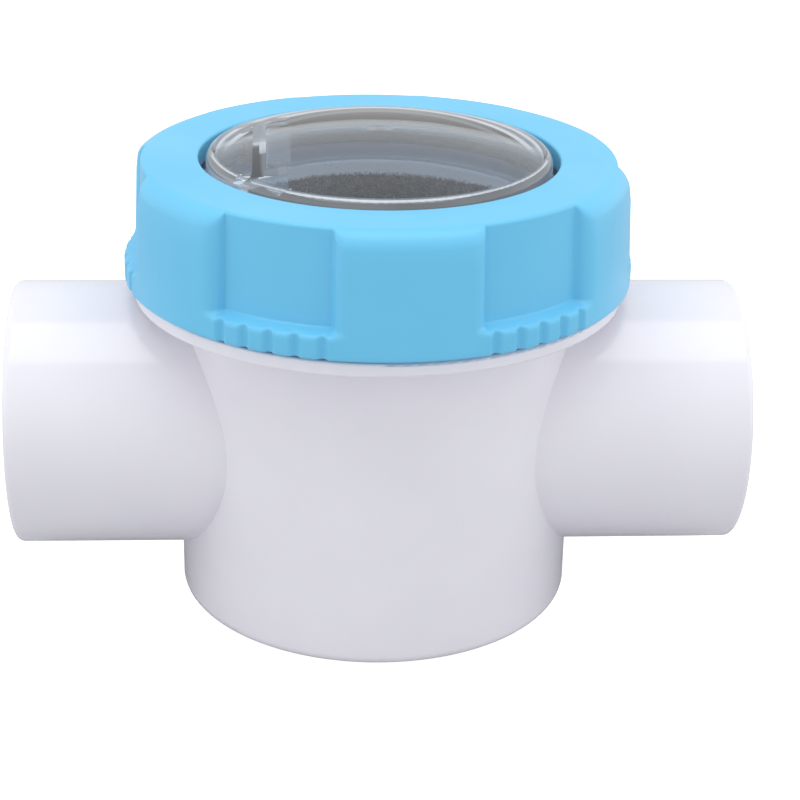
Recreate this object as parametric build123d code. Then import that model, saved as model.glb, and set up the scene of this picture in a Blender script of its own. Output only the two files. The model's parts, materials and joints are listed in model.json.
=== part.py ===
from build123d import *
from math import cos, pi, radians, sin, sqrt
import os

# In-line swing check valve. Millimetres. +X runs from inlet to outlet, +Z is up, and the origin is
# the centre of the base. Each sub-part is written to parts/ under its own name.

# ---- Overall -------------------------------------------------------------------------------------
overall_length = 165.0
overall_height = 110.0

# ---- Body ----------------------------------------------------------------------------------------
body_r = 45.4
body_wall = 5.0
floor_t = 6.0
base_round = 2.3

port_od = 60.3
port_end_round = 1.6
pipe_od = 48.26
pipe_gap = 0.07
socket_depth = 30.0
socket_lead_in = 1.0
flow_r = 20.0

flange_t = 3.0
flange_rim = 6.0
flange_over_port = 0.55
flange_round = 0.6

neck_wall = 6.6
thread_pitch = 5.0
thread_h = 2.0
thread_base_w = 2.4
thread_crest_w = 1.3
thread_start = 3.2
thread_start_angle = 40.0
thread_end_gap = 2.7
weld_depth = 0.5
cut_over = 1.0

# ---- Lock ring -----------------------------------------------------------------------------------
ring_h = 26.94
ring_gap = 0.9
ring_top_t = 4.54
ring_wall = 4.3
lobe_count = 6
lobe_step = 1.8
lobe_turn = 4.3
recess_angle = 32.5
recess_draft = 0.5
lobe_draft = 1.2
ring_edge_round = 5.0
band_r_over_lobe = 0.1
band_overlap = 2.0
band_h = 4.4
band_blend_h = 2.6
grooves_per_recess = 5
groove_angle = 5.6
groove_r = 1.2
groove_depth = 1.0
thread_gap = 0.5
tooth_base_w = 2.9
tooth_crest_w = 1.9
tooth_h = 2.1
ring_hole_step = 0.4

# ---- Sight lens, washer and cover seal -----------------------------------------------------------
dome_proud = 6.16
dome_rise = 5.4
dome_edge_round = 2.4
lens_gap = 1.6
lens_wall = 2.9
dome_t = 3.4
lens_flange_t = 4.0
lens_flange_gap = 0.5
lens_spigot_h = 4.5
lens_spigot_gap = 0.5
lens_seat_gap = 0.1
leg_h = 12.0
bridge_t = 2.9
bridge_h = 8.0
key_w = 4.0
key_depth = 1.8
key_gap = 0.5
key_below_top = 1.0
washer_t = 0.8
washer_w = 5.2
o_ring_r = 1.5
o_ring_squeeze = 0.4
groove_side_gap = 0.1

# ---- Seat frame ----------------------------------------------------------------------------------
frame_half_w = 24.6
frame_wall_gap = 1.3
frame_fit = 0.15
tongue_t = 5.0
seat_bore_r = 19.0
seat_tilt = 10.0
wedge_step = 2.3
lip_t = 2.9
frame_top_over_hinge = 12.6
saddle_over_bore = 7.7
bead_r = 20.7
bead_w = 1.6
bead_h = 0.8
bead_relief = 0.5
seat_ring_r = 1.2
seat_ring_major_r = 21.6
seat_ring_squeeze = 0.5
ear_inner_y = 16.5
ear_t = 4.0
ear_boss_r = 5.2
post_w = 6.0
hoop_t = 2.2
hoop_round = 1.6
hoop_fit = 0.3
hoop_gap = 0.3
web_overlap = 1.0

# ---- Flapper and hinge ---------------------------------------------------------------------------
hinge_drop = 31.0
seal_r = 22.6
seal_t = 2.5
seal_edge_round = 0.625
disc_t = 2.7
disc_edge_round = 0.675
disc_boss_r = 6.0
disc_boss_h = 1.0
retainer_r = 17.0
retainer_t = 1.5
retainer_chamfer = 0.375
screw_r = 2.5
screw_hole_gap = 0.1
head_r = 4.5
head_h = 2.3
head_round = 0.575
hex_key_flats = 2.5
hex_key_depth = 1.15
arm_t = 4.0
arm_half_w = 5.0
hub_r = 7.0
arm_knee = 9.0
knuckle_half_w = 8.0
knuckle_wall = 1.6
knuckle_lead = (0.4, 0.8)
knuckle_crown = (0.8, 0.45)
stop_l = 12.0
stop_t = 3.0
stop_gap = 0.05
open_angle = 75.0
nut_flats = 8.0
nut_h = 4.0
nut_crown = 1.2
nut_crown_step = 0.3
nut_washer_r = 5.5
nut_washer_t = 1.0

pin_r = 2.0
pin_fit = 0.05
pin_over_clip = 1.0
pin_chamfer = 0.4
bush_wall = 1.05
bush_flange_r = 3.8
bush_flange_t = 1.0
clip_r = 3.5
clip_t = 0.8
clip_groove_depth = 0.4
clip_float = 0.2
wire_r = 0.5
elbow_swell = 0.03
coil_over_pin = 0.9
coil_pitch = 1.15
coil_turns = 5
coil_end_angle = 80.0
leg_clear = 0.1
coil_clear = 0.2
spring_leg_l = 19.0
anchor_l = 7.0
anchor_hole_gap = 0.3

# ---- Levels and radii worked out from the sizes above --------------------------------------------
port_r = port_od / 2
ring_top_z = overall_height - dome_proud
ring_bottom_z = ring_top_z - ring_h
flange_top_z = ring_bottom_z - ring_gap
flange_z = flange_top_z - flange_t
axis_z = flange_z - flange_over_port - port_r

chamber_r = body_r - body_wall
neck_r = chamber_r + neck_wall
thread_r = neck_r + thread_h
flange_r = thread_r + flange_rim
ring_bore_r = thread_r + thread_gap
recess_r = ring_bore_r + ring_wall
lobe_r = recess_r + lobe_step
ring_foot_r = lobe_r + lobe_draft
band_r = ring_foot_r + band_r_over_lobe
band_top_z = ring_bottom_z + band_h
band_blend_z = band_top_z + band_blend_h
ring_hole_r = chamber_r - ring_hole_step

plate_z = ring_top_z - ring_top_t
lens_flange_top_z = plate_z - washer_t
lens_flange_z = lens_flange_top_z - lens_flange_t
neck_top_z = lens_flange_z - lens_seat_gap
lens_r = ring_hole_r - lens_gap
lens_bore_r = lens_r - lens_wall
lens_flange_r = neck_r - lens_flange_gap
lens_spigot_r = chamber_r - lens_spigot_gap
lens_spigot_z = lens_flange_z - lens_spigot_h
cover_groove_r = (chamber_r + neck_r) / 2
thread_z = flange_top_z + thread_start
tooth_z = thread_z + thread_pitch / 2
neck_turns = (neck_top_z - thread_end_gap - thread_z) / thread_pitch
ring_turns = (plate_z - thread_end_gap - tooth_z) / thread_pitch
ceiling_z = overall_height - dome_t
leg_z = ceiling_z - leg_h

bush_bore_r = pin_r + pin_fit
bush_r = bush_bore_r + bush_wall
screw_hole_r = screw_r + screw_hole_gap
coil_r = pin_r + coil_over_pin + wire_r
coil_y = knuckle_half_w + 2 * wire_r
coil_all_turns = coil_turns + coil_end_angle / 360
anchor_y = coil_y + coil_pitch * coil_all_turns
knuckle_r = pin_r + knuckle_wall
frame_back_x = -sqrt(chamber_r**2 - (frame_half_w + frame_wall_gap) ** 2)
tongue_x = frame_back_x + tongue_t
hinge_x = tongue_x + coil_r + wire_r + coil_clear
seal_back = bead_h + seal_t
disc_back = seal_back + disc_t
hinge_out = disc_back + leg_clear + wire_r - coil_r
tilt = radians(seat_tilt)
seat_x = hinge_x + hinge_drop * sin(tilt) - hinge_out * cos(tilt)
hinge_z = axis_z + hinge_drop * cos(tilt) + hinge_out * sin(tilt)
wedge_half_w = frame_half_w - wedge_step
wedge_top_z = axis_z + frame_half_w
lip_x = tongue_x + frame_fit + lip_t
saddle_z = axis_z + flow_r + saddle_over_bore
ear_outer_y = ear_inner_y + ear_t
post_x = tongue_x + post_w
arm_z0 = disc_back + disc_boss_h
arm_z1 = arm_z0 + arm_t
nut_z = arm_z1 + nut_washer_t
under_head = bead_h - retainer_t

UP = (Align.CENTER, Align.CENTER, Align.MIN)


# ---- Helpers -------------------------------------------------------------------------------------
def rod_x(radius, x0, x1, z=axis_z):
    """Solid cylinder along X from x0 to x1."""
    return Pos(x0, 0, z) * Rot(0, 90, 0) * Cylinder(radius, x1 - x0, align=UP)


def rod_y(radius, y0, y1, x=hinge_x, z=hinge_z):
    """Solid cylinder along Y from y0 to y1."""
    return Pos(x, y0, z) * Rot(-90, 0, 0) * Cylinder(radius, y1 - y0, align=UP)


def rod_z(radius, z0, z1, x=0.0, y=0.0):
    """Solid cylinder along Z from z0 to z1."""
    return Pos(x, y, z0) * Cylinder(radius, z1 - z0, align=UP)


def block(x0, x1, y0, y1, z0, z1):
    """Box between two corners."""
    return Pos((x0 + x1) / 2, (y0 + y1) / 2, (z0 + z1) / 2) * Box(x1 - x0, y1 - y0, z1 - z0)


def tube_z(outer_r, inner_r, z0, z1):
    """Upright tube from z0 to z1."""
    return rod_z(outer_r, z0, z1) - rod_z(inner_r, z0, z1)


def u_plate(half_w, x0, x1, top_z):
    """Plate across the flow with a round bottom about the port axis and straight sides up to top_z."""
    return rod_x(half_w, x0, x1) + block(x0, x1, -half_w, half_w, axis_z, top_z)


def turned(*points):
    """Solid of revolution about Z from an outline of (radius, z) corners."""
    outline = Polyline(*[(r, 0, z) for r, z in points], close=True)
    return revolve(make_face(outline), Axis.Z)


def seat_plane(out=0.0):
    """Plane of the inclined seat: its x is +Y, its y runs up the seat and its z points downstream."""
    centre = (seat_x + out * cos(tilt), 0, axis_z + out * sin(tilt))
    return Plane(origin=centre, x_dir=(0, 1, 0), z_dir=(cos(tilt), 0, sin(tilt)))


def on_seat(radius, out0, out1):
    """Cylinder square to the seat, between two distances downstream of it."""
    return seat_plane(out0) * Cylinder(radius, out1 - out0, align=UP)


def helix_ridge(root_r, depth, base_w, crest_w, start_z, turns):
    """Right-hand thread ridge welded into a wall at root_r; a negative depth points it inwards."""
    path = Helix(thread_pitch, turns * thread_pitch, root_r, center=(0, 0, start_z))
    weld = -weld_depth if depth > 0 else weld_depth
    weld_w = base_w + (base_w - crest_w) * weld_depth / abs(depth)
    corners = [(weld, -weld_w / 2), (depth, -crest_w / 2), (depth, crest_w / 2), (weld, weld_w / 2)]
    start = Plane(origin=path @ 0, x_dir=(1, 0, 0), z_dir=path % 0)
    ridge = sweep(start * make_face(Polyline(*corners, close=True)), path, is_frenet=True)
    return Rot(0, 0, thread_start_angle) * ridge


def pressed_ring(major_r, section_r, squeeze):
    """O-ring lying flat about Z with its section squeezed to a flat top and bottom at z = 0."""
    height = 2 * section_r - squeeze
    ring = Pos(0, 0, height / 2) * Torus(major_r, section_r)
    return ring & tube_z(major_r + section_r, major_r - section_r, 0, height)


# ---- Valve body ----------------------------------------------------------------------------------
def body_outside():
    barrel = rod_z(body_r, 0, flange_top_z)
    barrel = fillet(barrel.edges().sort_by(Axis.Z)[0], base_round)
    ports = rod_x(port_r, -overall_length / 2, overall_length / 2)
    ports = fillet(ports.edges().filter_by(GeomType.CIRCLE), port_end_round)
    flange = rod_z(flange_r, flange_z, flange_top_z)
    flange = fillet(flange.edges().filter_by(GeomType.CIRCLE), flange_round)
    neck = rod_z(neck_r, flange_z, neck_top_z)
    thread = helix_ridge(neck_r, thread_h, thread_base_w, thread_crest_w, thread_z, neck_turns)
    return barrel + ports + flange + (neck + thread)


def body_cavity():
    saddle = block(-body_r, lip_x, -body_r, body_r, 0, saddle_z)
    chamber = rod_z(chamber_r, floor_t, neck_top_z) - saddle
    slot = u_plate(frame_half_w + frame_fit, frame_back_x, tongue_x + frame_fit, saddle_z)
    mouth = u_plate(wedge_half_w + frame_fit, frame_back_x, lip_x, saddle_z)
    passage = rod_x(flow_r, -overall_length / 2, frame_back_x) + rod_x(flow_r, 0, overall_length / 2)
    return chamber + slot + mouth + passage + pipe_socket(1) + pipe_socket(-1)


def pipe_socket(side):
    socket_r = pipe_od / 2 + pipe_gap
    end = overall_length / 2
    hole = rod_x(socket_r, end - socket_depth, end)
    mouth = Pos(end - socket_lead_in, 0, axis_z) * Rot(0, 90, 0)
    hole += mouth * Cone(socket_r, socket_r + socket_lead_in, socket_lead_in, align=UP)
    return hole if side > 0 else mirror(hole, Plane.YZ)


def valve_body():
    groove_depth_z = 2 * o_ring_r - o_ring_squeeze - lens_seat_gap
    groove_half_w = o_ring_r + groove_side_gap
    groove = tube_z(
        cover_groove_r + groove_half_w,
        cover_groove_r - groove_half_w,
        neck_top_z - groove_depth_z,
        neck_top_z,
    )
    key_top_z = neck_top_z - key_below_top
    key_back = chamber_r + web_overlap
    key = block(chamber_r - key_depth, key_back, -key_w / 2, key_w / 2, lens_spigot_z, key_top_z)
    return body_outside() - body_cavity() - groove + key


# ---- Cover ---------------------------------------------------------------------------------------
def recess_cutter():
    """Scoop between two lobes: a drafted wall that runs out to the grip band at its foot."""
    far_r = band_r + cut_over
    wall = Polyline(
        (far_r, 0, band_top_z),
        (band_r, 0, band_top_z),
        (recess_r + recess_draft, 0, band_blend_z),
        (recess_r, 0, ring_top_z + cut_over),
        (far_r, 0, ring_top_z + cut_over),
        close=True,
    )
    scoop = revolve(make_face(wall), Axis.Z, revolution_arc=recess_angle)
    return Rot(0, 0, -recess_angle / 2) * scoop


def grip_grooves():
    centre_r = band_r + groove_r - groove_depth
    first = -groove_angle * (grooves_per_recess - 1) / 2
    tool = rod_z(groove_r, ring_bottom_z - cut_over, band_blend_z, x=centre_r)
    return [Rot(0, 0, first + i * groove_angle) * tool for i in range(grooves_per_recess)]


def lock_ring():
    shell = turned(
        (ring_hole_r, plate_z), (ring_hole_r, ring_top_z), (lobe_r, ring_top_z),
        (ring_foot_r, ring_bottom_z), (ring_bore_r, ring_bottom_z), (ring_bore_r, plate_z),
    )
    rim = shell.edges().filter_by(GeomType.CIRCLE).group_by(Axis.Z)[-1].sort_by(SortBy.RADIUS)[-1]
    shell = fillet(rim, ring_edge_round)
    band = tube_z(band_r, ring_foot_r - band_overlap, ring_bottom_z, band_top_z)
    cutters = []
    for i in range(lobe_count):
        turn = Rot(0, 0, -90 + lobe_turn + (i + 0.5) * 360 / lobe_count)
        cutters += [turn * tool for tool in [recess_cutter()] + grip_grooves()]
    tooth = helix_ridge(ring_bore_r, -tooth_h, tooth_base_w, tooth_crest_w, tooth_z, ring_turns)
    return shell + band - cutters + tooth


def lens_outside():
    """The lens without its hollow: flange, cylindrical rim and shallow dome."""
    rim_top_z = overall_height - dome_rise
    outline = Line((0, 0, lens_spigot_z), (lens_spigot_r, 0, lens_spigot_z))
    outline += Polyline(
        (lens_spigot_r, 0, lens_spigot_z), (lens_spigot_r, 0, lens_flange_z),
        (lens_flange_r, 0, lens_flange_z), (lens_flange_r, 0, lens_flange_top_z),
        (lens_r, 0, lens_flange_top_z), (lens_r, 0, rim_top_z),
    )
    outline += dome_arc(lens_r, rim_top_z, overall_height)
    outline += Line((0, 0, overall_height), (0, 0, lens_spigot_z))
    solid = revolve(make_face(outline), Axis.Z)
    rim = [e for e in solid.edges().filter_by(GeomType.CIRCLE) if abs(e.center().Z - rim_top_z) < 0.01]
    return fillet(rim, dome_edge_round)


def dome_arc(edge_r, edge_z, top_z):
    """Arc in the XZ plane from the dome's edge to its crown on the axis."""
    rise = top_z - edge_z
    radius = (edge_r**2 + rise**2) / (2 * rise)
    half = edge_r / 2
    middle = (half, 0, top_z - radius + sqrt(radius**2 - half**2))
    return ThreePointArc((edge_r, 0, edge_z), middle, (0, 0, top_z))


def lens_hollow():
    ceiling_edge_z = ceiling_z - dome_rise
    mouth_z = lens_spigot_z - cut_over
    outline = Polyline((0, 0, mouth_z), (lens_bore_r, 0, mouth_z), (lens_bore_r, 0, ceiling_edge_z))
    outline += dome_arc(lens_bore_r, ceiling_edge_z, ceiling_z)
    outline += Line((0, 0, ceiling_z), (0, 0, mouth_z))
    return revolve(make_face(outline), Axis.Z)


def hold_down_ribs():
    """Bridge across the lens and a leg at each end of it, over the ears of the seat frame."""
    leg = block(frame_back_x, post_x, ear_inner_y, ear_outer_y, leg_z, overall_height)
    bridge_x = tongue_x - bridge_t / 2
    bridge = block(
        bridge_x, bridge_x + bridge_t, -ear_outer_y, ear_outer_y, ceiling_z - bridge_h, overall_height
    )
    return leg + mirror(leg, Plane.XZ) + bridge


def sight_lens():
    outside = lens_outside()
    notch = block(
        chamber_r - key_depth - key_gap, chamber_r, -key_w / 2 - key_gap, key_w / 2 + key_gap,
        lens_spigot_z - cut_over, lens_flange_z,
    )
    return outside - lens_hollow() + (hold_down_ribs() & outside) - notch


def slip_washer():
    outer_r = lens_flange_r - lens_flange_gap
    return tube_z(outer_r, outer_r - washer_w, lens_flange_top_z, plate_z)


def cover_o_ring():
    depth = 2 * o_ring_r - o_ring_squeeze
    return Pos(0, 0, lens_flange_z - depth) * pressed_ring(cover_groove_r, o_ring_r, o_ring_squeeze)


# ---- Seat frame ----------------------------------------------------------------------------------
def seat_wedge():
    """Front of the frame, cut off by the inclined seat."""
    far_x = seat_x + frame_half_w
    wedge = u_plate(wedge_half_w, frame_back_x, far_x, wedge_top_z)
    size = 4 * frame_half_w
    return wedge - seat_plane() * Box(size, size, size, align=UP)


def hinge_ear():
    """Ear on the +Y side, with the post behind it."""
    root_x = frame_back_x + web_overlap
    plate_top_z = hinge_z + frame_top_over_hinge
    post = block(root_x, post_x, ear_inner_y, ear_outer_y, wedge_top_z, plate_top_z)
    return post + rod_y(ear_boss_r, ear_inner_y, ear_outer_y)


def cover_hoop():
    """Hoop round the chamber under the lens, which holds the frame down; its inner lip is rounded."""
    outer_r = chamber_r - hoop_fit
    hoop = tube_z(outer_r, outer_r - hoop_t, saddle_z + hoop_gap, lens_spigot_z - hoop_gap)
    lip = hoop.edges().filter_by(GeomType.CIRCLE).group_by(Axis.Z)[-1].sort_by(SortBy.RADIUS)[0]
    return fillet(lip, hoop_round)


def seat_frame():
    frame = u_plate(frame_half_w, frame_back_x, tongue_x, hinge_z + frame_top_over_hinge)
    frame += seat_wedge()
    frame += on_seat(bead_r + bead_w / 2, -web_overlap, bead_h)
    ear = hinge_ear()
    frame += ear + mirror(ear, Plane.XZ)
    frame += cover_hoop()
    frame -= rod_x(seat_bore_r, frame_back_x - cut_over, seat_x + frame_half_w)
    frame -= on_seat(bead_r - bead_w / 2, -bead_relief, bead_h + cut_over)
    frame -= rod_y(bush_r, -ear_outer_y - cut_over, ear_outer_y + cut_over)
    groove_x = frame_back_x + 2 * seat_ring_r - seat_ring_squeeze
    groove_half_w = seat_ring_r + groove_side_gap
    outer = rod_x(seat_ring_major_r + groove_half_w, frame_back_x, groove_x)
    frame -= outer - rod_x(seat_ring_major_r - groove_half_w, frame_back_x, groove_x)
    for side in (-1, 1):
        hole = Pos(frame_back_x, side * anchor_y, hinge_z + coil_r) * Rot(0, 90, 0)
        frame -= hole * Cylinder(wire_r + anchor_hole_gap, tongue_t, align=UP)
    return frame


def seat_o_ring():
    ring = pressed_ring(seat_ring_major_r, seat_ring_r, seat_ring_squeeze)
    return Pos(frame_back_x, 0, axis_z) * Rot(0, 90, 0) * ring


# ---- Flapper -------------------------------------------------------------------------------------
def flapper_arm():
    knee = hinge_drop - arm_knee
    lead = (hinge_out + knuckle_lead[0] * knuckle_r, hinge_drop - knuckle_lead[1] * knuckle_r)
    crown = (hinge_out + knuckle_crown[0] * knuckle_r, hinge_drop + knuckle_crown[1] * knuckle_r)
    profile = Polyline(
        (arm_z0, 0), (arm_z0, knee), lead, (hinge_out, hinge_drop), crown,
        (arm_z1, knee), (arm_z1, 0), close=True,
    )
    side = Plane(origin=(seat_x, 0, axis_z), x_dir=(cos(tilt), 0, sin(tilt)), z_dir=(0, -1, 0))
    arm = extrude(side * make_face(profile), arm_half_w, both=True)
    arm += on_seat(hub_r, arm_z0, arm_z1)
    arm += rod_y(knuckle_r, -knuckle_half_w, knuckle_half_w)
    arm += open_stop()
    arm -= on_seat(screw_hole_r, arm_z0 - cut_over, arm_z1 + cut_over)
    return arm - rod_y(pin_r, -knuckle_half_w - cut_over, knuckle_half_w + cut_over)


def open_stop():
    """Shelf on the knuckle that comes flat against the seat frame when the flapper is fully open."""
    reach = hinge_x - tongue_x - stop_gap
    shelf = block(0, stop_l, -knuckle_half_w, knuckle_half_w, reach - stop_t, reach)
    return Pos(hinge_x, 0, hinge_z) * Rot(0, open_angle - 90, 0) * shelf


def flapper_disc():
    disc = on_seat(seal_r, seal_back, disc_back)
    disc = fillet(disc.edges().filter_by(GeomType.CIRCLE), disc_edge_round)
    disc += on_seat(disc_boss_r, disc_back, arm_z0)
    return disc - on_seat(screw_hole_r, seal_back - cut_over, arm_z0 + cut_over)


def flapper_seal():
    seal = on_seat(seal_r, bead_h, seal_back)
    seal = fillet(seal.edges().filter_by(GeomType.CIRCLE), seal_edge_round)
    return seal - on_seat(screw_hole_r, bead_h - cut_over, seal_back + cut_over)


def seal_retainer():
    plate = on_seat(retainer_r, under_head, bead_h)
    plate = chamfer(plate.edges().filter_by(GeomType.CIRCLE), retainer_chamfer)
    return plate - on_seat(screw_hole_r, under_head - cut_over, bead_h + cut_over)


def disc_screw():
    head = on_seat(head_r, under_head - head_h, under_head)
    head = fillet(head.edges().filter_by(GeomType.CIRCLE), head_round)
    socket = RegularPolygon(hex_key_flats / 2, 6, major_radius=False)
    head -= extrude(seat_plane(under_head - head_h) * socket, hex_key_depth)
    return head + on_seat(screw_r, under_head, nut_z + nut_h)


def disc_washer():
    return on_seat(nut_washer_r, arm_z1, nut_z) - on_seat(screw_hole_r, arm_z1, nut_z)


def disc_nut():
    hexagon = RegularPolygon(nut_flats / 2, 6, major_radius=False)
    nut = extrude(seat_plane(nut_z) * hexagon, nut_h)
    crown_z = nut_z + nut_h
    nut += on_seat(nut_flats / 2 - nut_crown_step, crown_z, crown_z + nut_crown)
    return nut - on_seat(screw_r, nut_z, crown_z + nut_crown)


# ---- Hinge ---------------------------------------------------------------------------------------
def clip_y():
    """Inner face of the clip on the +Y side."""
    return ear_outer_y + clip_float


def hinge_pin():
    end_y = clip_y() + clip_t + pin_over_clip
    pin = rod_y(pin_r, -end_y, end_y)
    pin = chamfer(pin.edges().filter_by(GeomType.CIRCLE), pin_chamfer)
    for y in (clip_y(), -clip_y() - clip_t):
        pin -= rod_y(clip_r, y, y + clip_t) - rod_y(pin_r - clip_groove_depth, y, y + clip_t)
    return pin


def pin_clips():
    """Two spring clips, one in each groove of the pin."""
    y = clip_y()
    inner_r = pin_r - clip_groove_depth
    clip = rod_y(clip_r, y, y + clip_t) - rod_y(inner_r, y, y + clip_t)
    clip -= block(hinge_x - inner_r, hinge_x + inner_r, y, y + clip_t, hinge_z - clip_r, hinge_z)
    return clip, mirror(clip, Plane.XZ)


def hinge_bush(side):
    """Flanged bush in one ear, its flange on the inner face."""
    bush = rod_y(bush_r, ear_inner_y, ear_outer_y)
    bush += rod_y(bush_flange_r, ear_inner_y - bush_flange_t, ear_inner_y)
    bush -= rod_y(bush_bore_r, ear_inner_y - bush_flange_t, ear_outer_y)
    return bush if side > 0 else mirror(bush, Plane.XZ)


def torsion_spring(side):
    """Close-wound spring about the pin: one leg on the disc's back, the other into the seat frame."""
    path = Helix(coil_pitch, coil_pitch * coil_all_turns, coil_r, lefthand=True)
    start = Plane(origin=path @ 0, z_dir=path % 0)
    coil = sweep(start * Circle(wire_r), path, is_frenet=True)
    coil = Pos(hinge_x, coil_y, hinge_z) * Rot(-90, 0, 0) * coil
    coil = coil.rotate(Axis((hinge_x, 0, hinge_z), (0, 1, 0)), -seat_tilt)
    elbow = Cylinder(wire_r + elbow_swell, 2 * wire_r)
    leg_start = seat_plane(hinge_out + coil_r) * Pos(coil_y, hinge_drop, 0)
    leg = leg_start * Rot(90, 0, 0) * Cylinder(wire_r, spring_leg_l, align=UP)
    leg += leg_start * Rot(90, 0, 0) * elbow
    anchor_start = Pos(hinge_x, anchor_y, hinge_z + coil_r)
    anchor = anchor_start * Rot(0, -90, 0) * Cylinder(wire_r, anchor_l, align=UP)
    anchor += anchor_start * Rot(0, -90, 0) * elbow
    spring = coil + leg + anchor
    return spring if side > 0 else mirror(spring, Plane.XZ)


def write(name, shape):
    """Write one sub-part, as one solid or as a group of separate solids."""
    if isinstance(shape, tuple):
        shape = Compound(children=list(shape))
    export_step(shape, f"parts/{name}.step")


def main():
    os.makedirs("parts", exist_ok=True)
    write("valve_body", valve_body())
    write("lock_ring", lock_ring())
    write("sight_lens", sight_lens())
    write("slip_washer", slip_washer())
    write("cover_o_ring", cover_o_ring())
    write("seat_frame", seat_frame())
    write("seat_o_ring", seat_o_ring())
    write("flapper_arm", flapper_arm())
    write("flapper_disc", flapper_disc())
    write("flapper_seal", flapper_seal())
    write("seal_retainer", seal_retainer())
    write("disc_screw", disc_screw())
    write("disc_washer", disc_washer())
    write("disc_nut", disc_nut())
    write("hinge_pin", hinge_pin())
    write("pin_clips", pin_clips())
    write("hinge_bush_rear", hinge_bush(1))
    write("hinge_bush_front", hinge_bush(-1))
    write("torsion_spring_rear", torsion_spring(1))
    write("torsion_spring_front", torsion_spring(-1))


main()
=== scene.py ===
"""Studio scene for an in-line swing check valve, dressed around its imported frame.

The finer pieces made here, the lock ring and the two torsion springs, stand for their CAD nodes.
Every other node keeps its shape and gets a procedural finish. Lengths are metres.
"""

import json
import logging
from dataclasses import dataclass, field
from enum import Enum
from math import cos, floor, pi, radians, sin, sqrt

import bmesh
import bpy
from mathutils import Matrix, Vector


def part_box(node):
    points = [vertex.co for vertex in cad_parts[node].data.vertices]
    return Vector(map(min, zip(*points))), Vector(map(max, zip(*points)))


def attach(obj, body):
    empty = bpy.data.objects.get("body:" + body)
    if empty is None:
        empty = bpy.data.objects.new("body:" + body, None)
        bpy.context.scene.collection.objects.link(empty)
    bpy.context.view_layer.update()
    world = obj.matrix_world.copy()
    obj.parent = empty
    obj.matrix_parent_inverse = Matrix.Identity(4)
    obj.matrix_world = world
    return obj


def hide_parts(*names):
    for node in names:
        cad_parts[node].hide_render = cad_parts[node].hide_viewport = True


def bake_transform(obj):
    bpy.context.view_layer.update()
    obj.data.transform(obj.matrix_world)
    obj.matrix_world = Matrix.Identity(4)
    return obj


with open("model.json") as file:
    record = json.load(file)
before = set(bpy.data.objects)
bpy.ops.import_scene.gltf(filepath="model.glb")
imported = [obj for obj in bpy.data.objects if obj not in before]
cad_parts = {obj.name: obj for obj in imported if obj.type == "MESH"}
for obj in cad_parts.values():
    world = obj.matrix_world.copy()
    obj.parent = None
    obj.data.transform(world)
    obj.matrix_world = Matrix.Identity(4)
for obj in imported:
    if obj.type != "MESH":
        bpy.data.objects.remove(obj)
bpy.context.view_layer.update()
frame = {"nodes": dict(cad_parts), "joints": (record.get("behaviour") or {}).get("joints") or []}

LOG = logging.getLogger("check_valve")
MM = 0.001
Colour = tuple[float, float, float]
BLACK: Colour = (0.0, 0.0, 0.0)
WHITE: Colour = (1.0, 1.0, 1.0)
DUST: Colour = (0.35, 0.34, 0.33)
WIDE = (0.3, 0.7)
NARROW = (0.35, 0.65)


class Body(Enum):
    """Moving bodies of the frame."""

    VALVE = "valve"
    LENS = "lens"
    RING = "ring"
    FLAPPER = "flapper"


class Slot(Enum):
    """Material slots of the record."""

    PVC = "body_pvc"
    BLUE = "ring_blue"
    CLEAR = "lens_clear"
    ACETAL = "washer_acetal"
    RUBBER = "epdm"
    FRAME = "frame_grey"
    FLAPPER = "flapper_grey"
    STAINLESS = "stainless"
    BUSH = "bush_acetal"
    SPRING = "spring_steel"


def rgba(colour: Colour) -> tuple[float, float, float, float]:
    """Returns a colour with full alpha, as colour sockets want it."""
    return (*colour, 1.0)


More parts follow.
